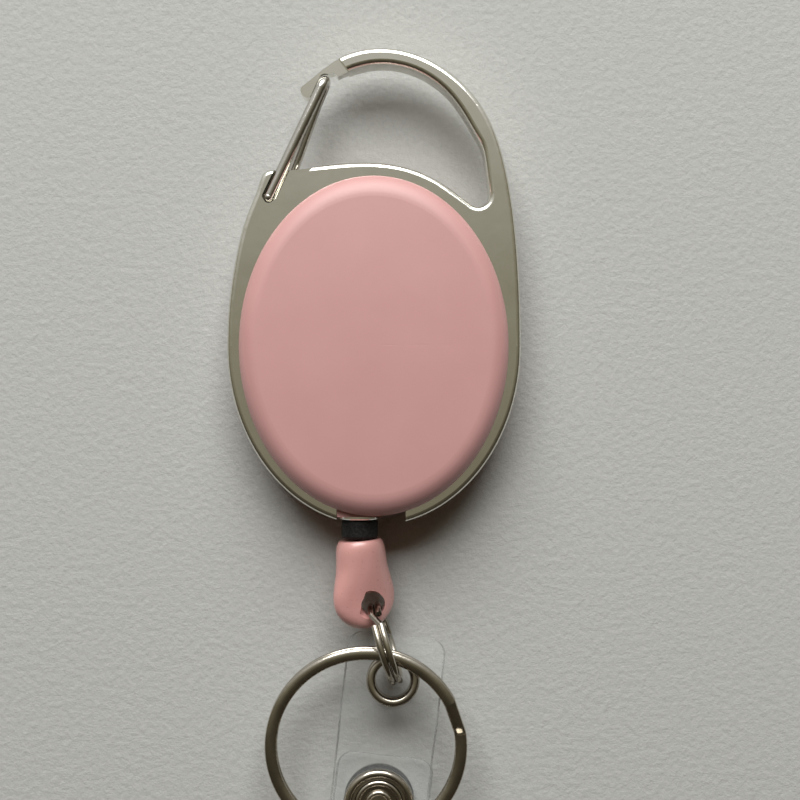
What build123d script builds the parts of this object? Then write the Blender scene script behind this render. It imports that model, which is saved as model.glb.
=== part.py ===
from build123d import *
import math
import os

# Retractable badge reel on an oval carabiner frame, in millimetres.
# It lies on its back: +Z is up out of the front cover, +Y runs from the cord outlet to the hook.
# The origin is the spool axis on the flat back face of the back cover.

# --- driving dimensions: casing and frame, along Z ---
FRAME_BACK = 3.2
FRAME_THICK = 3.4
FRAME_FRONT = FRAME_BACK + FRAME_THICK
MID_PLANE = FRAME_BACK + FRAME_THICK / 2
FRONT_TOP = 10.2
CROWN = 0.4
COVER_WALL = 1.2
SPLIT_PLANE = MID_PLANE

# Half axes (X, Y) of the ovals in plan.
COVER_OVAL = (16.45, 20.75)
FRAME_OPENING = (15.5, 19.8)
SKIRT_OVAL = (15.4, 19.7)
CAVITY_OVAL = (14.5, 18.8)
RING_OVAL = (18.1, 22.1)
COVER_EDGE_R = 2.3
BACK_EDGE_R = 1.2
RIM_CHAMFER = 0.25
FRAME_EDGE_R = 0.6
NOSE_STEP = 0.75

# Gap in the ring that the outlet stands in.
OUTLET_GAP = (-4.6, 3.9)

# --- casing screws ---
SCREW_SPOTS = [(-5.5, 15.6), (5.5, 15.6), (7.0, -15.0), (-7.6, -14.7)]
BOSS_R = 1.85
SCREW_R = 0.8
SCREW_FIT = 0.05
SCREW_HEAD_R = 1.5
SCREW_HEAD_TOP = 0.8
SLOT_WIDTH = 0.35
SLOT_DEPTH = 0.3

# --- wire gate ---
GATE_PIVOT = (-13.0, 18.4)
GATE_ANGLE = 64.5
GATE_LENGTH = 16.1
GATE_WIRE = 1.3
GATE_LEG_RISE = 1.05
GATE_SWEEP = 25.0
RECESS_REACH = 9.5
GATE_BACK_STEP = 1.1
GATE_PIN = 0.55
GATE_CLEAR = 0.1
NOSE_START = 13.3

# --- spool and what turns with it ---
SPOOL_BACK = 1.7
FLANGE_THICK = 0.6
FLANGE_R = 14.1
DRUM_R = 11.5
DRUM_WALL = 0.9
CORD_SPACE = 4.4
POST_R = 2.0
POST_FIT = 0.05
SPIGOT_R = 1.2
SPIGOT_DEPTH = 0.75
AXLE_SCREW_DEPTH = 1.9
AXLE_SCREW_HEAD = 0.65
WASHER_WIDTH = 1.6
FLANGE_EDGE_R = 0.2
CORD_D = 0.8
CORD_PITCH = 0.84
CORD_WRAPS = (5, 3)
LEAD_TURN = 3.5
LEAD_CLEAR = 0.25
LEAD_BEND = 3.7
CORD_LOW = SPOOL_BACK + FLANGE_THICK
CORD_HIGH = CORD_LOW + CORD_SPACE
SPOOL_TOP = CORD_HIGH + FLANGE_THICK
POST_TOP = SPOOL_TOP + 0.5
CHAMBER_R = DRUM_R - DRUM_WALL
SPRING_STRIP = 0.22
SPRING_PITCH = 0.62
SPRING_TURNS = 6
SPRING_STEP_IN = 1.3

# --- cord outlet and what hangs on the cord ---
CORD_X = -1.8
OUTLET_FACE = -20.9
OUTLET_WIDTH = 5.4
OUTLET_FLANGE = (2.7, 0.4)
OUTLET_TUBE_R = 1.6
CORD_HOLE_R = 0.5
STOPPER_R = 2.25
STOPPER_LENGTH = 2.4
CAP_TOP = -23.95
CAP_LEAN = 4.5
CAP_TURN = 32.0
CAP_HOLE_DOWN = 8.0
CAP_HOLE_ASIDE = 1.15
CAP_HOLE_TURN = 3.0
CAP_HOLE_R = 1.5
CAP_FLARES = (1.4, 0.45)
CAP_CORD_DEPTH = 3.2
KNOT_POCKET = 5.4
# Distance down, half width and half thickness of the end cap's cross sections.
CAP_SECTIONS = [
    (0.0, 2.6, 2.5), (0.45, 2.9, 2.75), (3.0, 3.35, 2.6), (5.6, 4.0, 2.15), (8.0, 4.15, 1.75),
    (9.7, 3.2, 1.6), (10.6, 1.9, 1.25), (10.9, 0.9, 0.7),
]
KNOT_R = 1.05
KNOT_DOWN = 3.1

# --- rings ---
JUMP_NEAR = (-0.02, -32.1)
JUMP_FAR = (2.82, -41.3)
JUMP_WIRE = 0.8
JUMP_RISE = 5.35
JUMP_SPLIT_AT = 128.0
KEY_RING_CENTRE = (-1.0, -49.4, 5.65)
KEY_RING_OD = 25.0
KEY_RING_BAND = 1.5
KEY_RING_TURN = 0.8
KEY_RING_TILT = 4.6
KEY_RING_SPLIT_AT = 8.0
TURN_GAP = 0.04
SPLIT_ARC = 20.0

# --- vinyl strap, in its own frame: Y from the snap to the eyelet, origin under the eyelet ---
STRAP_EYE = (2.33, -41.4)
STRAP_LEAN = -6.4
STRAP_WIDTH = 12.3
STRAP_THICK = 0.5
STRAP_CORNER = 1.9
STRAP_TOP = 5.5
SNAP_DOWN = 16.1
FOLD_DOWN = 46.0
FLAP_END = 10.4
FOLD_LOW = 0.25
FOLD_HIGH = 2.65
EYE_RISE = 4.5
TOP_RISE = 4.0
FLAP_AT_SNAP = 1.15
FLAP_BENDS = (27.5, 22.0)
BEND_DOWN = 4.75
LEVEL_DOWN = 10.2

# --- eyelet and snap ---
EYELET_R = 3.35
EYELET_HOLE_R = 2.15
EYELET_BARREL_R = 2.45
EYELET_ROLL = 0.6
SNAP_R = 4.45
SNAP_STEM_R = 1.1
SNAP_STUD_R = 1.8
SNAP_SOCKET_R = 3.3
SNAP_SLEEVE_R = 2.5
RUN_FIT = 0.08


def unit(degrees):
    """Direction in the XY plane at an angle from +X."""
    angle = math.radians(degrees)
    return Vector(math.cos(angle), math.sin(angle))


def rod(radius, low, high, at=(0, 0)):
    """Upright cylinder between two heights."""
    return Pos(at[0], at[1], low) * extrude(Circle(radius), high - low)


def pipe(outer, inner, low, high, at=(0, 0)):
    """Upright tube between two heights."""
    return rod(outer, low, high, at) - rod(inner, low, high, at)


def oval(axes, low, high):
    """Upright elliptical slab between two heights."""
    return Pos(0, 0, low) * extrude(Ellipse(*axes), high - low)


def slab(x, y, z):
    """Box from (low, high) pairs."""
    size = [pair[1] - pair[0] for pair in (x, y, z)]
    centre = [(pair[1] + pair[0]) / 2 for pair in (x, y, z)]
    return Pos(*centre) * Box(*size)


def rod_along_y(radius, low, high, x=CORD_X, z=MID_PLANE):
    """Cylinder along Y between two Y values."""
    return Pos(x, low, z) * Rot(-90, 0, 0) * extrude(Circle(radius), high - low)


# --- carabiner frame ---
GATE_DIR = unit(GATE_ANGLE)
GATE_SIDE = unit(GATE_ANGLE - 90)
PIVOT = Vector(*GATE_PIVOT)


def gate_point(along, aside=0.0, height=0.0):
    """Point a distance along the gate and to its inner side."""
    point = PIVOT + GATE_DIR * along + GATE_SIDE * aside
    return Vector(point.X, point.Y, height)


def frame_plan():
    """Outline of the frame: oval ring, hook with its nose, loop and bar."""
    pocket_r = GATE_WIRE / 2 + GATE_CLEAR
    tip_in = gate_point(NOSE_START, -pocket_r)
    pocket_start = gate_point(GATE_LENGTH, -pocket_r)
    pocket_middle = gate_point(GATE_LENGTH + pocket_r * math.sqrt(0.5), -pocket_r * math.sqrt(0.5))
    pocket_end = gate_point(GATE_LENGTH + pocket_r, 0)
    ring_x, ring_y = RING_OVAL
    lower_ring = EllipticalCenterArc((0, 0), ring_x, ring_y, 180, arc_size=180)
    hook_outside = Spline(
        (ring_x, 0), (17.8, 10), (16.6, 20.2), (13.0, 30.0), (7.0, 35.2), (1.0, 36.75), (-4.2, 35.6), (-8.9, 32.1),
        tangents=[(0, 1), (-0.8, -0.6)],
    )
    nose_end = Spline((-8.9, 32.1), (-8.75, 30.95), (tip_in.X, tip_in.Y), tangents=[(-0.8, -0.6), (0.85, 0.15)])
    nose_inside = Line(tip_in, pocket_start)
    pocket = ThreePointArc(pocket_start, pocket_middle, pocket_end)
    stock_end = Polyline(pocket_end, (-4.9, 33.8), (-4.5, 33.3))
    loop_inside = Spline(
        (-4.5, 33.3), (1.2, 34.75), (9.6, 30.6), (12.6, 25.9), (14.2, 19.0),
        tangents=[(0.9, 0.45), (0.12, -1)],
    )
    loop_foot = Spline((14.2, 19.0), (13.3, 17.3), (11.9, 17.5), tangents=[(0.12, -1), (-0.8, 0.6)])
    bar = Spline((11.9, 17.5), (8.2, 20.2), (0.6, 22.6), (-7.2, 22.2), (-12.6, 21.75), tangents=[(-0.8, 0.6), (-1, -0.05)])
    corner = Spline((-12.6, 21.75), (-13.6, 21.3), (-14.3, 19.6), tangents=[(-1, -0.05), (-0.32, -0.95)])
    left_side = Spline((-14.3, 19.6), (-15.75, 15.9), (-17.2, 10.0), (-ring_x, 0), tangents=[(-0.32, -0.95), (0, -1)])
    return make_face([
        lower_ring, hook_outside, nose_end, nose_inside, pocket, stock_end,
        loop_inside, loop_foot, bar, corner, left_side,
    ])


def gate_recess(low, high, aside):
    """Pocket in one face of the frame's corner, fanned out for the swing of a leg that ends up aside."""
    half = GATE_WIRE / 2 + 0.12
    rest_side = [gate_point(0, -half), gate_point(RECESS_REACH, -half)]
    open_angle = GATE_ANGLE - GATE_SWEEP
    open_side = unit(open_angle - 90)
    far = PIVOT + unit(open_angle) * RECESS_REACH + open_side * (half + aside)
    near = PIVOT + open_side * (half + 0.6 * aside)
    fan = make_face(Polyline(rest_side[0], rest_side[1], far, near, close=True)) + Pos(*GATE_PIVOT) * Circle(half)
    return Pos(0, 0, low) * extrude(fan, high - low)


def carabiner_frame():
    """Cast frame: plate with rounded edges, oval opening, thin nose, gap for the outlet and gate pockets."""
    body = Pos(0, 0, FRAME_BACK) * extrude(frame_plan(), FRAME_THICK)
    # The nose is thinner than the hook, so the wire's two legs close over it.
    nose_zone = Pos(-9.2, 33.2, 0) * Rot(0, 0, 36.6) * Rectangle(10.6, 6.4)
    for low in (FRAME_BACK - 1, FRAME_FRONT - NOSE_STEP):
        body -= Pos(0, 0, low) * extrude(nose_zone, 1 + NOSE_STEP)
    for face in (body.faces().sort_by(Axis.Z)[0], body.faces().sort_by(Axis.Z)[-1]):
        curved = [edge for edge in face.edges() if edge.geom_type != GeomType.LINE]
        body = fillet(curved, FRAME_EDGE_R)
    body -= oval(FRAME_OPENING, FRAME_BACK - 1, FRAME_FRONT + 1)
    body -= slab(OUTLET_GAP, (-30, -12), (FRAME_BACK - 1, FRAME_FRONT + 1))
    floor = GATE_LEG_RISE - GATE_WIRE / 2 - 0.05
    body -= gate_recess(MID_PLANE + floor, FRAME_FRONT + 1, 0)
    body -= gate_recess(FRAME_BACK - 1, MID_PLANE - floor, GATE_BACK_STEP)
    body -= rod(GATE_PIN + POST_FIT, FRAME_BACK, FRAME_FRONT, GATE_PIVOT)
    return body


def wire_gate():
    """One spring wire: front leg, end bend round Z, back leg, and both ends bent into the pivot hole."""
    front = MID_PLANE + GATE_LEG_RISE
    back = MID_PLANE - GATE_LEG_RISE
    path = FilletPolyline(
        gate_point(0.2, 0, front),
        gate_point(GATE_LENGTH, 0, front),
        gate_point(GATE_LENGTH, 0, back),
        gate_point(13.4, 0.1, back),
        gate_point(3.4, GATE_BACK_STEP, back),
        gate_point(1.1, GATE_BACK_STEP * 0.6, back),
        gate_point(0.0, 0.05, back),
        radius=[GATE_LEG_RISE * 0.98, GATE_LEG_RISE * 0.98, 12.0, 1.5, 0.8],
    )
    wire = sweep(Plane(path @ 0, z_dir=path % 0) * Circle(GATE_WIRE / 2), path)
    for height in (front, back):
        wire += Pos(*GATE_PIVOT, height) * Sphere(GATE_WIRE / 2 + 0.02)
    wire += rod(GATE_PIN, MID_PLANE + 0.02, front, GATE_PIVOT)
    wire += rod(GATE_PIN, back, MID_PLANE - 0.02, GATE_PIVOT)
    return wire


# --- casing ---

def casing_cavity():
    """Room inside both covers."""
    return oval(CAVITY_OVAL, COVER_WALL, FRONT_TOP - CROWN - COVER_WALL)


def cord_way():
    """Hole for the outlet eyelet and the room behind it."""
    return rod_along_y(OUTLET_TUBE_R, -25, -16)


def outlet_block(low, high):
    """Casing wall round the outlet, in the gap of the frame's ring."""
    sides = (CORD_X - OUTLET_WIDTH / 2, CORD_X + OUTLET_WIDTH / 2)
    return slab(sides, (OUTLET_FACE, CAVITY_OVAL[1] * -0.93), (low, high))


def cover_dome():
    """Outside of the front cover: a round button with a crown and a rolled edge, drawn out to the oval."""
    rim, edge_r = COVER_OVAL[0], COVER_EDGE_R
    crown_r = rim ** 2 / (2 * CROWN)
    crown_z = FRONT_TOP - crown_r
    edge_z = crown_z + math.sqrt((crown_r - edge_r) ** 2 - (rim - edge_r) ** 2)
    meet = math.atan2(rim - edge_r, edge_z - crown_z)
    shoulder = (crown_r * math.sin(meet), crown_z + crown_r * math.cos(meet))
    bevel = math.radians(45) + meet / 2
    middle = (rim - edge_r + edge_r * math.sin(bevel), edge_z + edge_r * math.cos(bevel))
    outline = [
        Polyline((0, FRONT_TOP), (0, FRAME_FRONT), (rim - RIM_CHAMFER, FRAME_FRONT),
                 (rim, FRAME_FRONT + RIM_CHAMFER), (rim, edge_z)),
        ThreePointArc((rim, edge_z), middle, shoulder),
        ThreePointArc(shoulder, (crown_r * math.sin(meet / 2), crown_z + crown_r * math.cos(meet / 2)), (0, FRONT_TOP)),
    ]
    button = revolve(Plane.XZ * make_face(outline), Axis.Z)
    return scale(button, by=(1, COVER_OVAL[1] / rim, 1))


def front_cover():
    """Domed oval cover with a skirt through the frame and four screw bosses."""
    top = FRONT_TOP - CROWN
    shell = cover_dome()
    shell += oval(SKIRT_OVAL, SPLIT_PLANE, FRAME_FRONT + 0.5)
    shell += outlet_block(SPLIT_PLANE, FRAME_FRONT + 1)
    shell -= casing_cavity()
    for spot in SCREW_SPOTS:
        shell += rod(BOSS_R, SPLIT_PLANE, top - COVER_WALL + 0.3, spot)
        shell -= rod(SCREW_R, SPLIT_PLANE - 1, top - COVER_WALL - 0.6, spot)
    return shell - cord_way()


def back_cover():
    """Flat-backed oval cover that the frame, post and spool are built up on."""
    shell = oval(COVER_OVAL, 0, FRAME_BACK)
    shell = fillet(shell.faces().sort_by(Axis.Z)[0].edges(), BACK_EDGE_R)
    shell = chamfer(shell.faces().sort_by(Axis.Z)[-1].edges(), RIM_CHAMFER)
    shell += oval(SKIRT_OVAL, FRAME_BACK - 0.5, SPLIT_PLANE)
    shell += outlet_block(FRAME_BACK - 1, SPLIT_PLANE)
    shell -= casing_cavity()
    for spot in SCREW_SPOTS:
        shell += rod(BOSS_R, COVER_WALL - 0.3, SPLIT_PLANE, spot)
        shell -= rod(SCREW_R + SCREW_FIT, -1, SPLIT_PLANE + 1, spot)
        shell -= rod(SCREW_HEAD_R + SCREW_FIT, -1, SCREW_HEAD_TOP, spot)
    shell -= rod(SPIGOT_R, COVER_WALL - SPIGOT_DEPTH, COVER_WALL + 1)
    return shell - cord_way()


def cross_slot(length, z, at=(0, 0)):
    """Cross slot to cut in a screw's head, centred on a height."""
    blades = [Pos(at[0], at[1], z) * Rot(0, 0, turn) * Box(length, SLOT_WIDTH, 2 * SLOT_DEPTH) for turn in (0, 90)]
    return blades[0] + blades[1]


def cover_screw(spot):
    """Screw put in from the back: cylindrical head with a cross slot, plain shank."""
    head_face = 0.1
    tip = FRONT_TOP - CROWN - COVER_WALL - 1.2
    screw = rod(SCREW_HEAD_R, head_face, SCREW_HEAD_TOP, spot) + rod(SCREW_R, SCREW_HEAD_TOP, tip, spot)
    return screw - cross_slot(1.3 * SCREW_HEAD_R, head_face, spot)


def cover_screws():
    return [cover_screw(spot) for spot in SCREW_SPOTS]


def axle_post():
    """Steel post pressed into the back cover: bearing for the spool, with a slot for the spring's inner end."""
    post = rod(POST_R, COVER_WALL, POST_TOP) + rod(SPIGOT_R, COVER_WALL - SPIGOT_DEPTH, COVER_WALL + 0.1)
    post -= rod(SCREW_R, POST_TOP - AXLE_SCREW_DEPTH - 0.1, POST_TOP + 1)
    return post - slab((-POST_R - 1, -1.0), (-0.2, 0.2), (SPOOL_BACK + 0.9, POST_TOP + 1))


def axle_screw():
    """Screw in the post's end, whose head keeps the spool on."""
    head_top = POST_TOP + AXLE_SCREW_HEAD
    screw = rod(POST_R + 0.3, POST_TOP, head_top) + rod(SCREW_R, POST_TOP - AXLE_SCREW_DEPTH, POST_TOP)
    return screw - cross_slot(1.2 * POST_R, head_top)


def thrust_washers():
    """Nylon washers behind and in front of the spool."""
    bore = POST_R + POST_FIT
    return [
        pipe(POST_R + WASHER_WIDTH, bore, COVER_WALL + 0.05, SPOOL_BACK - 0.05),
        pipe(POST_R + WASHER_WIDTH, bore, SPOOL_TOP + 0.05, POST_TOP - 0.03),
    ]


# --- spool ---
def spool():
    """Cup with a flange round its floor; the power spring lies in it and the cord round it."""
    cup = rod(FLANGE_R, SPOOL_BACK, CORD_LOW) + rod(DRUM_R, SPOOL_BACK, CORD_HIGH)
    cup = fillet(cup.edges().filter_by(GeomType.CIRCLE).group_by(SortBy.RADIUS)[-1], FLANGE_EDGE_R)
    cup -= rod(CHAMBER_R, CORD_LOW + 0.1, CORD_HIGH + 1)
    cup -= rod(POST_R + POST_FIT, SPOOL_BACK - 1, CORD_HIGH)
    # Slot in the drum wall that takes the spring's outer hook, and the hole for the cord's end.
    cup -= slab((CHAMBER_R - 0.5, CHAMBER_R + 0.55), (-0.75, 0.75), (CORD_LOW + 0.3, CORD_HIGH + 1))
    cup -= Pos(0, DRUM_R - DRUM_WALL / 2, CORD_LOW + CORD_D) * Rot(-90, 0, 0) * Cylinder(CORD_D / 2, 2 * DRUM_WALL)
    return cup


def spool_cover():
    """Front flange, with a low ring that centres it in the drum."""
    lid = rod(FLANGE_R, CORD_HIGH, SPOOL_TOP)
    lid = fillet(lid.edges().filter_by(GeomType.CIRCLE), FLANGE_EDGE_R)
    lid += pipe(CHAMBER_R - 0.05, CHAMBER_R - 0.55, CORD_HIGH - 0.35, CORD_HIGH + 0.1)
    return lid - rod(POST_R + POST_FIT, CORD_HIGH - 1, SPOOL_TOP + 1)


def half_turn(centre_x, radius, upper, low, high):
    """Half a turn of the spring strip about a point on the X axis."""
    ring = Circle(radius + SPRING_STRIP / 2) - Circle(radius - SPRING_STRIP / 2)
    side = 1 if upper else -1
    half = ring & Pos(0, side * radius, 0) * Rectangle(4 * radius, 2 * radius)
    return Pos(centre_x, 0, low) * extrude(half, high - low)


def power_spring():
    """Spiral strip: packed turns against the drum, then a few wide ones in to the post's slot."""
    low, high = CORD_LOW + 0.35, CORD_HIGH - 0.5
    half = SPRING_STRIP / 2
    outer = CHAMBER_R - 0.3
    packed = [CHAMBER_R + 0.25 - SPRING_PITCH * step / 2 for step in range(2, 2 * SPRING_TURNS)]
    wide = [packed[-1] - SPRING_STEP_IN * step for step in (1, 2, 3)]
    ends = [outer] + packed + wide
    strip = None
    for step, (start, end) in enumerate(zip(ends, ends[1:])):
        side = 1 if step % 2 == 0 else -1
        turn = half_turn(side * (start - end) / 2, (start + end) / 2, side > 0, low, high)
        strip = turn if strip is None else strip + turn
    last = ends[-1] * (1 if len(ends) % 2 else -1)
    strip += slab(sorted((last, math.copysign(1.1, last))), (-half, half), (low, high))
    return strip + slab((outer - half, CHAMBER_R + 0.4), (-half, half), (low, high))


def wrap_radius(layer):
    return DRUM_R + CORD_D / 2 + 0.02 + layer * CORD_PITCH * 0.9


def wrap_height(turn):
    return CORD_LOW + CORD_D / 2 + 0.05 + turn * CORD_PITCH


def wound_cord():
    """The cord's wraps on the drum, each a closed ring; the second layer lies in the first's grooves."""
    wraps = []
    for layer, count in enumerate(CORD_WRAPS):
        for turn in range(count):
            wraps.append(Pos(0, 0, wrap_height(turn + layer / 2)) * Torus(wrap_radius(layer), CORD_D / 2))
    return wraps


def cord_lead():
    """Cord from the winding, round to the outlet and down to the knot in the end cap."""
    lead_r = wrap_radius(len(CORD_WRAPS) - 1) + LEAD_CLEAR
    mouth = Vector(CORD_X, OUTLET_FACE + LEAD_BEND, MID_PLANE)
    towards = math.degrees(math.atan2(mouth.Y, mouth.X))
    spread = math.degrees(math.acos(lead_r / math.hypot(mouth.X, mouth.Y)))
    leave = unit(towards + spread) * lead_r
    start = Vector(leave.X, leave.Y, wrap_height(LEAD_TURN))
    knot = cap_point(KNOT_DOWN)
    path = FilletPolyline(start, mouth, Vector(CORD_X, CAP_TOP + 0.4, MID_PLANE), knot, radius=[2.4, 4.0])
    return sweep(Plane(path @ 0, z_dir=path % 0) * Circle(CORD_D / 2), path)


def outlet_eyelet():
    """Flanged bush that the cord runs through, flared at both ends."""
    flange_r, flange = OUTLET_FLANGE
    outline = Polyline(
        (1.1, -flange), (flange_r - 0.15, -flange), (flange_r, -flange + 0.15), (flange_r, 0), (OUTLET_TUBE_R, 0),
        (OUTLET_TUBE_R, 2.9), (1.1, 2.9), (0.75, 2.4), (0.75, 0.1), close=True,
    )
    return Pos(CORD_X, OUTLET_FACE, MID_PLANE) * revolve(make_face(outline), Axis.Y)


# --- stopper, knot and end cap ---
STOPPER_TOP = OUTLET_FACE - OUTLET_FLANGE[1] - 0.05


def cap_point(down, height=0.0):
    """Point on the end cap's axis, a distance down from its top."""
    lean = math.radians(CAP_LEAN)
    return Vector(CORD_X + down * math.sin(lean), CAP_TOP - down * math.cos(lean), MID_PLANE + height)


def cap_place():
    """Frame of the end cap: its Y runs up the cord, its Z is its flat front's normal."""
    return Pos(CORD_X, CAP_TOP, MID_PLANE) * Rot(0, 0, CAP_LEAN) * Rot(0, CAP_TURN, 0)


def cord_stopper():
    """Soft bead that meets the outlet."""
    bead = rod_along_y(STOPPER_R, STOPPER_TOP - STOPPER_LENGTH, STOPPER_TOP)
    bead = fillet(bead.edges(), 0.45)
    return bead - rod_along_y(CORD_HOLE_R, STOPPER_TOP - 5, STOPPER_TOP + 5)


def cord_knot():
    """Knot that holds the cord in the end cap."""
    knot = cap_point(KNOT_DOWN)
    ball = Pos(knot.X, knot.Y, knot.Z) * Sphere(KNOT_R)
    return ball - cap_place() * Pos(0, KNOT_R - KNOT_DOWN, 0) * Rot(90, 0, 0) * Cylinder(CORD_D / 2, 2 * KNOT_R)


def cap_section(down, half_x, half_z):
    """Oval cross section of the end cap."""
    return Plane(origin=(0, -down, 0), x_dir=(1, 0, 0), z_dir=(0, -1, 0)) * Ellipse(half_x, half_z)


def cap_bore():
    """Frame of the hole for the ring; it leans from the paddle's normal, towards the upright."""
    return Pos(CAP_HOLE_ASIDE, -CAP_HOLE_DOWN, 0) * Rot(0, CAP_HOLE_TURN - CAP_TURN, 0)


def end_cap():
    """Moulded cord end: round neck, wide paddle, and a hole for the ring with flared mouths."""
    body = loft([cap_section(*section) for section in CAP_SECTIONS])
    bore = Cylinder(CAP_HOLE_R, 10)
    for side, flare in zip((-1, 1), CAP_FLARES):
        mouth = Cone(CAP_HOLE_R - 0.1, CAP_HOLE_R + flare, 1.6)
        bore += Pos(0, 0, side * 1.9) * Rot(90 - 90 * side, 0, 0) * mouth
    body -= cap_bore() * bore
    body -= Pos(0, -1.3, 0) * Rot(90, 0, 0) * Cylinder(CORD_HOLE_R + 0.05, CAP_CORD_DEPTH)
    body -= Pos(0, -4.6, 0) * Rot(90, 0, 0) * Cylinder(KNOT_R + 0.12, KNOT_POCKET)
    return cap_place() * body


# --- split rings ---
def arc_solid(section, start, sweep_angle):
    """A ring section turned about Z from one angle through another."""
    return Rot(0, 0, start) * revolve(section, Axis.Z, sweep_angle)


def split_ring(radius, section_at, rise):
    """Two turns of wire, one on the other, joined by a short ramp between their free ends."""
    lower = section_at(radius, -rise / 2)
    upper = section_at(radius, rise / 2)
    turn = 360 - SPLIT_ARC
    ring = arc_solid(lower, SPLIT_ARC, turn) + arc_solid(upper, SPLIT_ARC, turn)
    ramp = loft([lower.faces()[0], (Rot(0, 0, SPLIT_ARC) * upper).faces()[0]], ruled=True)
    return ring + ramp


def round_section(radius, height):
    return Plane.XZ * Pos(radius, height) * Circle(JUMP_WIRE / 2)


def flat_section(radius, height):
    return Plane.XZ * Pos(radius, height) * Ellipse(KEY_RING_BAND / 2, KEY_RING_TURN / 2)


def jump_ring():
    """Small ring standing on edge; it joins the end cap, the key ring and the strap."""
    near, far = Vector(*JUMP_NEAR, JUMP_RISE), Vector(*JUMP_FAR, JUMP_RISE)
    radius = (far - near).length / 2
    ring = split_ring(radius, round_section, JUMP_WIRE + TURN_GAP)
    plane = Plane(origin=(near + far) * 0.5, x_dir=(far - near), z_dir=(far - near).cross(Vector(0, 0, 1)))
    return plane * Rot(0, 0, JUMP_SPLIT_AT) * ring


def key_ring():
    """Flat split ring through the jump ring, its far side raised by the snap."""
    radius = (KEY_RING_OD - KEY_RING_BAND) / 2
    ring = split_ring(radius, flat_section, KEY_RING_TURN + TURN_GAP)
    return Pos(*KEY_RING_CENTRE) * Rot(KEY_RING_TILT, 0, 0) * Rot(0, 0, KEY_RING_SPLIT_AT) * ring


# --- strap ---
FOLD_R = (FOLD_HIGH - FOLD_LOW) / 2
FOLD_MID = (FOLD_HIGH + FOLD_LOW) / 2


def strap_place():
    return Pos(*STRAP_EYE, 0) * Rot(0, 0, STRAP_LEAN)


def strap_band(path):
    """Flat strip of the strap's section along a path in its YZ plane."""
    start = Plane(origin=path @ 0, x_dir=(1, 0, 0), z_dir=path % 0)
    return sweep(start * Rectangle(STRAP_WIDTH, STRAP_THICK), path)


def corner_mask(top):
    """Upright block with rounded upper corners, as long as the strap."""
    length = FOLD_DOWN + top
    plan = Pos(0, top - length / 2) * Rectangle(STRAP_WIDTH, length)
    plan = fillet(plan.vertices().group_by(Axis.Y)[-1], STRAP_CORNER)
    return Pos(0, 0, -2) * extrude(plan, 12)


def eye_place():
    """Frame of the eyelet on the sloping strap."""
    slope = math.degrees(math.atan2(TOP_RISE - EYE_RISE, STRAP_TOP))
    return Pos(0, 0, EYE_RISE) * Rot(slope, 0, 0)


def strap_front():
    bend_rise = EYE_RISE - BEND_DOWN * (TOP_RISE - EYE_RISE) / STRAP_TOP
    path = FilletPolyline(
        (0, STRAP_TOP, TOP_RISE), (0, -BEND_DOWN, bend_rise), (0, -LEVEL_DOWN, FOLD_HIGH),
        (0, -FOLD_DOWN, FOLD_HIGH), radius=[5.0, 9.0],
    )
    band = strap_band(path) & corner_mask(STRAP_TOP)
    band -= eye_place() * Cylinder(EYELET_BARREL_R, 4)
    band -= rod(SNAP_SLEEVE_R, FOLD_HIGH - 1, FOLD_HIGH + 1, (0, -SNAP_DOWN))
    return strap_place() * band


def strap_fold():
    path = ThreePointArc(
        (0, -FOLD_DOWN, FOLD_HIGH), (0, -FOLD_DOWN - FOLD_R, FOLD_MID), (0, -FOLD_DOWN, FOLD_LOW),
    )
    return strap_place() * strap_band(path)


def strap_back():
    path = FilletPolyline(
        (0, -FOLD_DOWN, FOLD_LOW), (0, -FLAP_BENDS[0], FOLD_LOW), (0, -FLAP_BENDS[1], FLAP_AT_SNAP),
        (0, -FLAP_END, FLAP_AT_SNAP), radius=[14.0, 14.0],
    )
    band = strap_band(path) & corner_mask(-FLAP_END)
    band -= rod(SNAP_STEM_R, 0, 3, (0, -SNAP_DOWN))
    return strap_place() * band


def strap_eyelet():
    """Eyelet: half-round rolled flange on the strap, and a barrel through it."""
    seat, end = STRAP_THICK / 2, -0.9
    crest = ((EYELET_HOLE_R + EYELET_R) / 2, seat + EYELET_ROLL)
    outline = [
        ThreePointArc((EYELET_HOLE_R, seat), crest, (EYELET_R, seat)),
        Polyline(
            (EYELET_R, seat), (EYELET_BARREL_R, seat), (EYELET_BARREL_R, end), (EYELET_HOLE_R, end),
            (EYELET_HOLE_R, seat),
        ),
    ]
    return strap_place() * eye_place() * revolve(Plane.XZ * make_face(outline), Axis.Z)


def eyelet_washer():
    ring = Pos(0, 0, -STRAP_THICK / 2 - 0.2) * (Cylinder(EYELET_R, 0.4) - Cylinder(EYELET_BARREL_R, 1))
    return strap_place() * eye_place() * ring


FLAP_TOP = FLAP_AT_SNAP + STRAP_THICK / 2
FRONT_UNDER = FOLD_HIGH - STRAP_THICK / 2
FRONT_OVER = FOLD_HIGH + STRAP_THICK / 2
SNAP_AT = (0, -SNAP_DOWN)


def snap_cap():
    """Domed cap behind the flap, with the stem that holds the stud."""
    dome = rod(SNAP_R, 0.02, FLAP_AT_SNAP - STRAP_THICK / 2, SNAP_AT)
    dome = fillet(dome.edges().sort_by(Axis.Z)[0], 0.5)
    return strap_place() * (dome + rod(SNAP_STEM_R, 0.5, FLAP_TOP + 0.9, SNAP_AT))


def snap_stud():
    """Male half of the snap, on the flap."""
    stud = rod(SNAP_SOCKET_R - 0.2, FLAP_TOP, FLAP_TOP + 0.25, SNAP_AT)
    stud += rod(SNAP_STUD_R, FLAP_TOP, FLAP_TOP + 0.9, SNAP_AT)
    return strap_place() * (stud - rod(SNAP_STEM_R, 0, 5, SNAP_AT))


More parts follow.
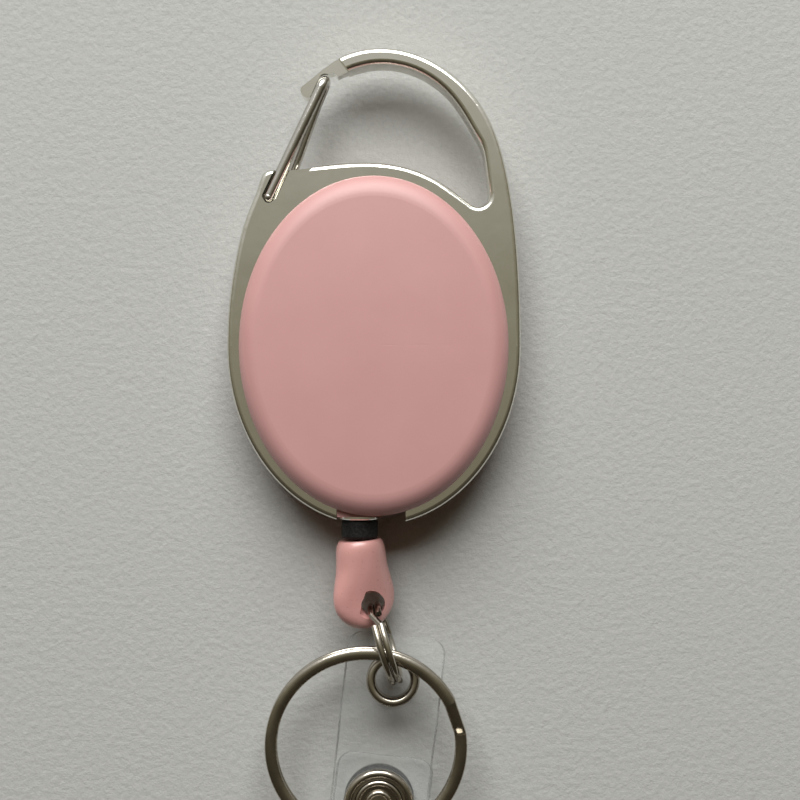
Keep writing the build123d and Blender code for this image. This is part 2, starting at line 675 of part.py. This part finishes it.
def snap_socket():
    """Female half of the snap, under the front layer."""
    return strap_place() * pipe(SNAP_SOCKET_R, SNAP_STUD_R + RUN_FIT, FLAP_TOP + 0.33, FRONT_UNDER, SNAP_AT)


def snap_front_ring():
    """Visible half of the snap: rolled rim, groove, ridge, dish and a small hub; its sleeve meets the socket."""
    base, groove, rim_in = FRONT_OVER, FRONT_OVER + 0.2, SNAP_R - 1.0
    outline = [
        Line((0, groove), (1.1, groove)),
        ThreePointArc((1.1, groove), (1.45, base + 0.55), (1.8, groove)),
        Line((1.8, groove), (2.35, base + 0.35)),
        ThreePointArc((2.35, base + 0.35), (2.75, base + 0.65), (3.1, groove)),
        Line((3.1, groove), (rim_in, groove)),
        ThreePointArc((rim_in, groove), (SNAP_R - 0.5, base + 0.9), (SNAP_R, groove)),
        Polyline((SNAP_R, groove), (SNAP_R, base), (0, base), (0, groove)),
    ]
    face = revolve(Plane.XZ * make_face(outline), Axis.Z)
    ring = Pos(*SNAP_AT, 0) * face + rod(SNAP_SLEEVE_R, FRONT_UNDER, base + 0.1, SNAP_AT)
    return strap_place() * (ring - rod(SNAP_STUD_R + RUN_FIT, 0, base - 0.1, SNAP_AT))


PIECES = [
    carabiner_frame, wire_gate, front_cover, back_cover, cover_screws, axle_post, axle_screw, thrust_washers,
    spool, spool_cover, power_spring, wound_cord, cord_lead, outlet_eyelet, cord_stopper, cord_knot, end_cap,
    jump_ring, key_ring, strap_front, strap_fold, strap_back, strap_eyelet, eyelet_washer,
    snap_cap, snap_stud, snap_socket, snap_front_ring,
]

os.makedirs("parts", exist_ok=True)
for make in PIECES:
    made = make()
    if isinstance(made, list):
        made = Compound(children=[piece.solids()[0] for piece in made])
    export_step(made, f"parts/{make.__name__}.step")
    solids = made.solids()
    print(make.__name__, len(solids), round(sum(solid.volume for solid in solids), 2))
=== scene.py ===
import math

import bmesh
import bpy
from mathutils import Matrix, Vector


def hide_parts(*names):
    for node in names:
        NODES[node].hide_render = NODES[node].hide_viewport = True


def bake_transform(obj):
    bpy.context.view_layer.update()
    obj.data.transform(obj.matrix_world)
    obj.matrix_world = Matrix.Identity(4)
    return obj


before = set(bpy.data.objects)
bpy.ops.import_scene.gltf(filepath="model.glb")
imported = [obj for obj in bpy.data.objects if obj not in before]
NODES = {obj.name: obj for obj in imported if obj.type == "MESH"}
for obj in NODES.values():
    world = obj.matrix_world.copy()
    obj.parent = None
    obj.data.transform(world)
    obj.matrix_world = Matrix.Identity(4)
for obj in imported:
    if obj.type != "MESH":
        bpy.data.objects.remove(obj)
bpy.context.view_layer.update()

# Retractable badge reel on an oval carabiner frame, lying on its back on a sheet of paper.
# Metres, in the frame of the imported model: +Z out of the front cover, +Y towards the hook.

MM = 0.001


# --- materials ---

def new_material(name):
    """Material with a Principled shader; returns it with its node tree and shader."""
    material = bpy.data.materials.new(name)
    material.use_nodes = True
    tree = material.node_tree
    return material, tree, tree.nodes["Principled BSDF"]


def noise(tree, scale, detail=3.0, roughness=0.5, stretch=(1, 1, 1)):
    """Noise in the object's own coordinates; scale is in features per metre."""
    mapping = tree.nodes.new("ShaderNodeMapping")
    mapping.inputs["Scale"].default_value = stretch
    place = tree.nodes.new("ShaderNodeTexCoord").outputs["Object"]
    tree.links.new(place, mapping.inputs["Vector"])
    texture = tree.nodes.new("ShaderNodeTexNoise")
    texture.inputs["Scale"].default_value = scale
    texture.inputs["Detail"].default_value = detail
    texture.inputs["Roughness"].default_value = roughness
    tree.links.new(mapping.outputs["Vector"], texture.inputs["Vector"])
    return texture.outputs["Fac"]


def ramp(tree, value, stops):
    """Colour ramp from (position, colour) stops."""
    node = tree.nodes.new("ShaderNodeValToRGB")
    elements = node.color_ramp.elements
    while len(elements) < len(stops):
        elements.new(0.5)
    for element, (position, colour) in zip(elements, stops):
        element.position = position
        element.color = (*colour, 1)
    tree.links.new(value, node.inputs["Fac"])
    return node.outputs["Color"]


def spread(tree, value, low, high, lowest=0.0):
    """Map a texture that runs from lowest to 1 onto a range of numbers."""
    node = tree.nodes.new("ShaderNodeMapRange")
    node.inputs["From Min"].default_value = lowest
    node.inputs["To Min"].default_value = low
    node.inputs["To Max"].default_value = high
    tree.links.new(value, node.inputs["Value"])
    return node.outputs["Result"]


def add_bump(tree, shader, height, strength, distance):
    """Bump from a texture, on top of any bump already there."""
    bump = tree.nodes.new("ShaderNodeBump")
    bump.inputs["Strength"].default_value = strength
    bump.inputs["Distance"].default_value = distance
    tree.links.new(height, bump.inputs["Height"])
    if shader.inputs["Normal"].is_linked:
        tree.links.new(shader.inputs["Normal"].links[0].from_socket, bump.inputs["Normal"])
    tree.links.new(bump.outputs["Normal"], shader.inputs["Normal"])


def plated(name, light, dark, rough, wave):
    """Plated metal: slow colour drift, uneven polish, and a faint cast waviness."""
    material, tree, shader = new_material(name)
    shader.inputs["Metallic"].default_value = 1.0
    tree.links.new(ramp(tree, noise(tree, 260, 4), [(0.3, dark), (0.7, light)]), shader.inputs["Base Color"])
    tree.links.new(spread(tree, noise(tree, 900, 5, 0.6), rough[0], rough[1]), shader.inputs["Roughness"])
    add_bump(tree, shader, noise(tree, 320, 2), wave, 0.2 * MM)
    add_bump(tree, shader, noise(tree, 9000, 2), 0.03, 0.01 * MM)
    return material


def brushed(name, light, dark, rough):
    """Machined or drawn steel with fine lines round its length."""
    material, tree, shader = new_material(name)
    shader.inputs["Metallic"].default_value = 1.0
    tree.links.new(ramp(tree, noise(tree, 500, 4), [(0.3, dark), (0.7, light)]), shader.inputs["Base Color"])
    lines = noise(tree, 1200, 4, 0.6, stretch=(1, 1, 14))
    tree.links.new(spread(tree, lines, rough[0], rough[1]), shader.inputs["Roughness"])
    add_bump(tree, shader, lines, 0.1, 0.02 * MM)
    return material


def moulded(name, light, dark, rough, grain):
    """Moulded plastic: even colour with a slow drift, and a spark-eroded grain."""
    material, tree, shader = new_material(name)
    shader.inputs["Specular IOR Level"].default_value = 0.9
    tone = ramp(tree, noise(tree, 130, 5, 0.6), [(0.25, dark), (0.75, light)])
    tree.links.new(tone, shader.inputs["Base Color"])
    tree.links.new(spread(tree, noise(tree, 2600, 3), rough[0], rough[1]), shader.inputs["Roughness"])
    add_bump(tree, shader, noise(tree, 5200, 3, 0.6), grain, 0.04 * MM)
    return material


def rubber(name):
    """Matt black rubber with a little dust."""
    material, tree, shader = new_material(name)
    shader.inputs["Specular IOR Level"].default_value = 0.3
    dust = ramp(tree, noise(tree, 3500, 4), [(0.45, (0.006, 0.006, 0.006)), (0.8, (0.03, 0.03, 0.028))])
    tree.links.new(dust, shader.inputs["Base Color"])
    tree.links.new(spread(tree, noise(tree, 4000, 3), 0.55, 0.8), shader.inputs["Roughness"])
    add_bump(tree, shader, noise(tree, 6000, 3), 0.2, 0.05 * MM)
    return material


def braided(name):
    """Thin braided nylon cord: two crossing sets of strands."""
    material, tree, shader = new_material(name)
    shader.inputs["Specular IOR Level"].default_value = 0.35
    strands = []
    for slant in (0.75, -0.75):
        mapping = tree.nodes.new("ShaderNodeMapping")
        mapping.inputs["Rotation"].default_value = (0, slant, slant)
        tree.links.new(tree.nodes.new("ShaderNodeTexCoord").outputs["Object"], mapping.inputs["Vector"])
        wave = tree.nodes.new("ShaderNodeTexWave")
        wave.inputs["Scale"].default_value = 1300
        tree.links.new(mapping.outputs["Vector"], wave.inputs["Vector"])
        strands.append(wave.outputs["Fac"])
    weave = tree.nodes.new("ShaderNodeMath")
    weave.operation = "MAXIMUM"
    for socket, strand in zip(weave.inputs, strands):
        tree.links.new(strand, socket)
    shade = ramp(tree, weave.outputs["Value"], [(0.2, (0.004, 0.004, 0.005)), (0.9, (0.035, 0.035, 0.038))])
    tree.links.new(shade, shader.inputs["Base Color"])
    tree.links.new(spread(tree, weave.outputs["Value"], 0.7, 0.5), shader.inputs["Roughness"])
    add_bump(tree, shader, weave.outputs["Value"], 0.5, 0.08 * MM)
    return material


def clear_vinyl(name, haze_and_edge_shade, alpha, rough):
    """Clear soft vinyl: see-through and glossy, with a faint milky tint and small dents; with dark colours,
    as on the strap's edges, the tint is painted edge shade.
    """
    material, tree, shader = new_material(name)
    shader.inputs["Alpha"].default_value = alpha
    shader.inputs["IOR"].default_value = 1.52
    shader.inputs["Specular IOR Level"].default_value = 0.9
    tone = ramp(tree, noise(tree, 240, 4), [(0.3, haze_and_edge_shade[0]), (0.7, haze_and_edge_shade[1])])
    tree.links.new(tone, shader.inputs["Base Color"])
    tree.links.new(spread(tree, noise(tree, 1500, 4), rough[0], rough[1]), shader.inputs["Roughness"])
    add_bump(tree, shader, noise(tree, 160, 3), 0.25, 0.3 * MM)
    return material


def paper(name):
    """Off-white drawing paper with a fine felt grain."""
    material, tree, shader = new_material(name)
    shader.inputs["Specular IOR Level"].default_value = 0.15
    tone = ramp(tree, noise(tree, 1500, 6, 0.65), [(0.3, (0.57, 0.58, 0.56)), (0.7, (0.63, 0.64, 0.62))])
    tree.links.new(tone, shader.inputs["Base Color"])
    shader.inputs["Roughness"].default_value = 0.9
    add_bump(tree, shader, noise(tree, 1000, 7, 0.68), 0.7, 0.24 * MM)
    return material


CHROME = plated("frame_chrome", (0.80, 0.785, 0.72), (0.74, 0.72, 0.65), (0.08, 0.17), 0.05)
GATE = plated("gate_chrome", (0.62, 0.60, 0.56), (0.50, 0.48, 0.44), (0.10, 0.20), 0.05)
NICKEL = plated("ring_nickel", (0.54, 0.50, 0.43), (0.36, 0.33, 0.28), (0.12, 0.26), 0.10)
SNAP = plated("snap_nickel", (0.48, 0.44, 0.38), (0.32, 0.29, 0.25), (0.10, 0.22), 0.06)
FERRULE = plated("outlet_nickel", (0.84, 0.82, 0.78), (0.76, 0.74, 0.70), (0.10, 0.2), 0.04)
COVER = moulded("cover_pink", (0.70, 0.375, 0.362), (0.66, 0.345, 0.332), (0.46, 0.56), 0.12)
CAP = moulded("cap_pink", (0.76, 0.40, 0.37), (0.70, 0.345, 0.32), (0.24, 0.34), 0.06)
SPOOL = moulded("spool_white", (0.80, 0.80, 0.77), (0.72, 0.72, 0.69), (0.40, 0.5), 0.08)
NYLON = moulded("washer_nylon", (0.82, 0.80, 0.74), (0.76, 0.74, 0.68), (0.35, 0.5), 0.05)
STEEL = brushed("screw_steel", (0.62, 0.62, 0.63), (0.48, 0.48, 0.50), (0.2, 0.4))
SPRING = brushed("spring_steel", (0.30, 0.33, 0.42), (0.20, 0.22, 0.30), (0.2, 0.35))
STOPPER = rubber("stopper_rubber")
CORD = braided("cord_nylon")
VINYL = clear_vinyl("strap_vinyl", ((0.62, 0.65, 0.65), (0.80, 0.83, 0.83)), 0.06, (0.05, 0.16))
# Rounded edges and hole walls of the strap: a darker, denser copy of the vinyl, painted dark edge lines in
# place of the refraction and reflection there.
VINYL_PAINTED_EDGE_SHADE = clear_vinyl("strap_painted_edge_shade", ((0.22, 0.23, 0.22), (0.50, 0.52, 0.51)), 0.42, (0.2, 0.35))

FINISH = {
    CHROME: ["carabiner_frame"],
    GATE: ["wire_gate"],
    NICKEL: ["jump_ring", "key_ring"],
    SNAP: ["strap_eyelet", "eyelet_washer", "snap_cap", "snap_stud", "snap_socket", "snap_front_ring"],
    FERRULE: ["outlet_eyelet"],
    COVER: ["front_cover", "back_cover"],
    CAP: ["end_cap"],
    SPOOL: ["spool", "spool_cover"],
    NYLON: ["thrust_washers"],
    STEEL: ["axle_post", "axle_screw", "cover_screws"],
    SPRING: ["power_spring"],
    STOPPER: ["cord_stopper"],
    CORD: ["wound_cord", "cord_knot"],
}


def finish_cad_nodes():
    """Give every CAD node that stays visible its material."""
    for material, names in FINISH.items():
        for name in names:
            for material_slot in NODES[name].material_slots:
                material_slot.material = material


# --- meshes ---

def mesh_object(name, build, materials):
    """Object from a bmesh, shaded smooth."""
    mesh = bpy.data.meshes.new(name)
    build.to_mesh(mesh)
    build.free()
    for material in materials:
        mesh.materials.append(material)
    mesh.shade_smooth()
    piece = bpy.data.objects.new(name, mesh)
    bpy.context.scene.collection.objects.link(piece)
    return piece


def skin(rings, edge_faces=()):
    """Closed bmesh through rings of points; edge_faces are the places round a ring with material 1."""
    build = bmesh.new()
    loops = [[build.verts.new(point) for point in ring] for ring in rings]
    around = len(loops[0])
    for loop, following in zip(loops, loops[1:]):
        for place in range(around):
            beside = (place + 1) % around
            face = build.faces.new((loop[place], loop[beside], following[beside], following[place]))
            face.material_index = int(place in edge_faces)
    for end in (loops[0][::-1], loops[-1]):
        build.faces.new(end).material_index = int(bool(edge_faces))
    bmesh.ops.recalc_face_normals(build, faces=build.faces)
    return build


def bend(before, corner, after, reach, steps=10):
    """Points along a smooth curve that cuts a corner off, reach away from it on both sides."""
    start = corner + (before - corner).normalized() * reach
    end = corner + (after - corner).normalized() * reach
    points = []
    for step in range(steps + 1):
        t = step / steps
        points.append(start * (1 - t) ** 2 + corner * 2 * t * (1 - t) + end * t ** 2)
    return points


# --- strap: one band of clear vinyl, from the eyelet down, round the fold and back up to the snap ---
# The corners of its route are (along, up) in millimetres, with along measured up from the eyelet.

STRAP_EYE = Vector((2.33, -41.4, 0)) * MM
STRAP_LEAN = math.radians(-6.4)
STRAP_WIDTH = 12.3 * MM
STRAP_THICK = 0.5 * MM
STRAP_CORNER = 1.9 * MM
STRAP_STEP = 0.6 * MM
STRAP_ACROSS = 10
STRAP_TOP = 5.5
FOLD_DOWN = 46.0
FOLD_LEVELS = (2.65, 0.25)
FRONT_CORNERS = [(STRAP_TOP, 4.0), (-4.75, 4.93), (-10.2, 2.65), (-FOLD_DOWN, FOLD_LEVELS[0])]
FRONT_REACH = (1.1, 1.9)
FLAP_CORNERS = [(-FOLD_DOWN, FOLD_LEVELS[1]), (-27.5, 0.25), (-22.0, 1.15), (-10.4, 1.15)]
FLAP_REACH = (1.2, 1.2)
FLAP_ASIDE = 0.35 * MM
SNAP_DOWN = 16.1 * MM
EYELET_HOLE_R = 2.6 * MM
SNAP_SLEEVE_R = 2.5 * MM
SNAP_STEM_R = 1.15 * MM
BETWEEN_LAYERS = 1.9 * MM
ABOVE_STRAP = 7 * MM
BELOW_STRAP = -1 * MM
HOLE_SIDES = 64
ARC_STEP = 9
EDGE_STEP = 30


def strap_route():
    """Points of the band's middle, as (along, up), from the top of the front to the end of the flap."""
    def half(corners, reaches):
        points = [Vector(corner) for corner in corners]
        route = [points[0]]
        for before, corner, after, reach in zip(points, points[1:], points[2:], reaches):
            route += bend(before, corner, after, reach)
        return route + [points[-1]]

    fold_r = (FOLD_LEVELS[0] - FOLD_LEVELS[1]) / 2
    middle = Vector((-FOLD_DOWN, sum(FOLD_LEVELS) / 2))
    angles = [math.radians(angle) for angle in range(ARC_STEP, 180, ARC_STEP)]
    fold = [middle + fold_r * Vector((-math.sin(angle), math.cos(angle))) for angle in angles]
    route = half(FRONT_CORNERS, FRONT_REACH) + fold + half(FLAP_CORNERS, FLAP_REACH)
    return [point * MM for point in route]


def stations(route):
    """Places along the route with their direction, closer together round the corners of the two ends."""
    runs = [(second - first).length for first, second in zip(route, route[1:])]
    length = sum(runs)
    corner = [STRAP_CORNER * (1 - math.cos(math.radians(angle))) for angle in range(0, 90, ARC_STEP)]
    plain = length - 2 * STRAP_CORNER
    count = round(plain / STRAP_STEP)
    distances = corner + [STRAP_CORNER + plain * index / count for index in range(count + 1)]
    distances += [length - distance for distance in reversed(corner)]
    index, gone = 0, 0.0
    for distance in distances:
        while index < len(runs) - 1 and gone + runs[index] < distance:
            gone += runs[index]
            index += 1
        first, second = route[index], route[index + 1]
        place = first.lerp(second, (distance - gone) / runs[index])
        yield distance, length, place, (second - first).normalized()


def band_section(half):
    """Section of the band, as (across, out), flat with round edges; returns it with the edges' places."""
    edge = STRAP_THICK / 2
    flat = half - edge
    turns = [math.radians(angle) for angle in range(0, 181, EDGE_STEP)]
    right = [(flat + edge * math.sin(turn), edge * math.cos(turn)) for turn in turns]
    left = [(-across, -out) for across, out in right]
    fill = [flat * (2 * index / STRAP_ACROSS - 1) for index in range(1, STRAP_ACROSS)]
    section = [(across, edge) for across in fill] + right + [(-across, -edge) for across in fill] + left
    first_edge = range(len(fill), len(fill) + len(right) - 1)
    second_edge = range(2 * len(fill) + len(right), len(section) - 1)
    return section, {*first_edge, *second_edge}


def cut_round(piece, name, radius, place, low, high):
    """Cut an upright round hole through part of a piece."""
    build = bmesh.new()
    bmesh.ops.create_cone(
        build, cap_ends=True, segments=HOLE_SIDES, radius1=radius, radius2=radius, depth=high - low,
        matrix=Matrix.Translation((place.x, place.y, (low + high) / 2)),
    )
    cutter = mesh_object(name, build, piece.data.materials)
    # The hole walls take the piece's second material; on the strap that is the painted dark edge shade.
    for face in cutter.data.polygons:
        face.material_index = 1
    modifier = piece.modifiers.new(name, "BOOLEAN")
    modifier.operation = "DIFFERENCE"
    modifier.solver = "EXACT"
    modifier.object = cutter
    evaluated = piece.evaluated_get(bpy.context.evaluated_depsgraph_get())
    piece.data = bpy.data.meshes.new_from_object(evaluated)
    piece.modifiers.clear()
    bpy.data.objects.remove(cutter)


def add_strap():
    """The band with its holes; the flap's side of it drifts a little sideways towards its end."""
    place = Matrix.Translation(STRAP_EYE) @ Matrix.Rotation(STRAP_LEAN, 4, "Z")
    flap_starts = (STRAP_TOP + FOLD_DOWN) * MM
    rings = []
    for distance, length, middle, forward in stations(strap_route()):
        from_end = min(distance, length - distance)
        half = STRAP_WIDTH / 2
        if from_end < STRAP_CORNER:
            half += math.sqrt(STRAP_CORNER ** 2 - (STRAP_CORNER - from_end) ** 2) - STRAP_CORNER
        section, edges = band_section(half)
        out = Vector((forward.y, -forward.x))
        aside = FLAP_ASIDE * max(0.0, distance - flap_starts) / (length - flap_starts)
        rings.append([
            place @ Vector((across + aside, middle.x + out.x * off, middle.y + out.y * off))
            for across, off in section
        ])
    # Material 1 on the band's rounded edges is the painted dark edge shade.
    strap = mesh_object("vinyl_strap", skin(rings, edges), [VINYL, VINYL_PAINTED_EDGE_SHADE])
    snap = place @ Vector((0, -SNAP_DOWN, 0))
    cut_round(strap, "eyelet_hole", EYELET_HOLE_R, STRAP_EYE, BETWEEN_LAYERS, ABOVE_STRAP)
    cut_round(strap, "snap_hole", SNAP_SLEEVE_R, snap, BETWEEN_LAYERS, ABOVE_STRAP)
    cut_round(strap, "stem_hole", SNAP_STEM_R, snap, BELOW_STRAP, BETWEEN_LAYERS)
    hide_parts("strap_front", "strap_fold", "strap_back")
    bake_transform(strap)


# --- pull cord, from the winding through the outlet to the knot in the end cap ---

CORD_R = 0.4 * MM
CORD_LEAVES = Vector((7.535, -10.503, 5.69)) * MM
CORD_MOUTH = Vector((-1.8, -17.2, 4.9)) * MM
CORD_REACH = 1.6 * MM
CORD_KNOT = Vector((-1.557, -27.04, 4.9)) * MM
OUTLET_MOUTH = -19.9 * MM
STOPPER_FACE = -21.3 * MM
CORD_RINGS = 60
CORD_TURN_STEP = 20
CORD_TAIL = (0.33, 0.67, 1.0)


def add_pull_cord():
    """The stretch in the outlet draws out as the cord is pulled, so it has many rings."""
    below = Vector((CORD_MOUTH.x, STOPPER_FACE, CORD_MOUTH.z))
    start = Vector((CORD_MOUTH.x, OUTLET_MOUTH, CORD_MOUTH.z))
    centres = [CORD_LEAVES] + bend(CORD_LEAVES, CORD_MOUTH, below, CORD_REACH)
    centres += [start.lerp(below, index / CORD_RINGS) for index in range(CORD_RINGS + 1)]
    centres += [below.lerp(CORD_KNOT, share) for share in CORD_TAIL]
    up = Vector((0, 0, 1))
    turns = [math.radians(angle) for angle in range(0, 360, CORD_TURN_STEP)]
    rings = []
    for index, centre in enumerate(centres):
        ahead = centres[min(index + 1, len(centres) - 1)] - centres[max(index - 1, 0)]
        side = ahead.cross(up).normalized()
        over = side.cross(ahead).normalized()
        rings.append([centre + CORD_R * (side * math.cos(turn) + over * math.sin(turn)) for turn in turns])
    cord = mesh_object("pull_cord", skin(rings), [CORD])
    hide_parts("cord_lead")
    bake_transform(cord)


# --- the set: paper, light and camera ---

FLOOR_SIZE = 3.0
FLOOR_LEVEL = -0.1 * MM


def add_floor():
    """Sheet of paper just under the object, so that the two don't share a plane."""
    bpy.ops.mesh.primitive_plane_add(size=FLOOR_SIZE, location=(0, 0, FLOOR_LEVEL))
    floor = bpy.context.object
    floor.name = "paper_floor"
    floor.data.materials.append(paper("paper"))


WINDOW_AT = Vector((-0.06, 0.66, 0.54))
WINDOW_SIZE = (0.76, 0.60)
WINDOW_POWER = 10.0
WINDOW_COLOUR = (1.0, 1.0, 0.985)


def add_window():
    """One large soft light, aimed at the object's middle."""
    light = bpy.data.lights.new("window", "AREA")
    light.shape = "RECTANGLE"
    light.size, light.size_y = WINDOW_SIZE
    light.energy = WINDOW_POWER
    light.color = WINDOW_COLOUR
    lamp = bpy.data.objects.new("window", light)
    aim = (-WINDOW_AT).to_track_quat("-Z", "Y")
    lamp.matrix_world = Matrix.Translation(WINDOW_AT) @ aim.to_matrix().to_4x4()
    bpy.context.scene.collection.objects.link(lamp)


WINDOW_SIDE = Vector((-0.12, 0.95, 0.30)).normalized()
ROOM_FILL = (0.17, 0.125, 0.085)
ROOM = [
    (0.0, (0.035, 0.028, 0.02)), (0.45, (0.075, 0.065, 0.045)), (0.60, (0.19, 0.175, 0.125)),
    (0.70, (0.30, 0.285, 0.225)), (0.86, (0.72, 0.72, 0.70)), (1.0, (1.0, 1.0, 1.0)),
]


def set_world():
    """Dim warm room, brighter only towards the window side; matt surfaces take a share of it as fill."""
    world = bpy.data.worlds.new("room")
    bpy.context.scene.world = world
    world.use_nodes = True
    tree = world.node_tree
    direction = tree.nodes.new("ShaderNodeTexCoord").outputs["Generated"]
    toward = tree.nodes.new("ShaderNodeVectorMath")
    toward.operation = "DOT_PRODUCT"
    toward.inputs[1].default_value = WINDOW_SIDE
    tree.links.new(direction, toward.inputs[0])
    room = ramp(tree, spread(tree, toward.outputs["Value"], 0, 1, lowest=-1), ROOM)
    fill = tree.nodes.new("ShaderNodeMix")
    fill.data_type = "RGBA"
    fill.blend_type = "MULTIPLY"
    fill_factor, fill_room, fill_tint = (socket for socket in fill.inputs if socket.enabled)
    fill_tint.default_value = (*ROOM_FILL, 1)
    tree.links.new(tree.nodes.new("ShaderNodeLightPath").outputs["Is Diffuse Ray"], fill_factor)
    tree.links.new(room, fill_room)
    background = tree.nodes["Background"]
    tree.links.new(next(socket for socket in fill.outputs if socket.enabled), background.inputs["Color"])
    background.inputs["Strength"].default_value = 1.0


CAMERA_HEIGHT = 0.160
CAMERA_XY = (0.0032, -0.0066)
SENSOR = 36.0
LENS = 56.2


def add_camera():
    """Camera that looks straight down from above the end cap's side of the casing."""
    camera = bpy.data.cameras.new("camera")
    camera.sensor_width = SENSOR
    camera.lens = LENS
    camera.clip_start = 0.005
    holder = bpy.data.objects.new("camera", camera)
    holder.location = (*CAMERA_XY, CAMERA_HEIGHT)
    bpy.context.scene.collection.objects.link(holder)
    bpy.context.scene.camera = holder


add_camera()
finish_cad_nodes()
add_strap()
add_pull_cord()
add_floor()
set_world()
add_window()
bpy.context.scene.view_settings.view_transform = "Standard"
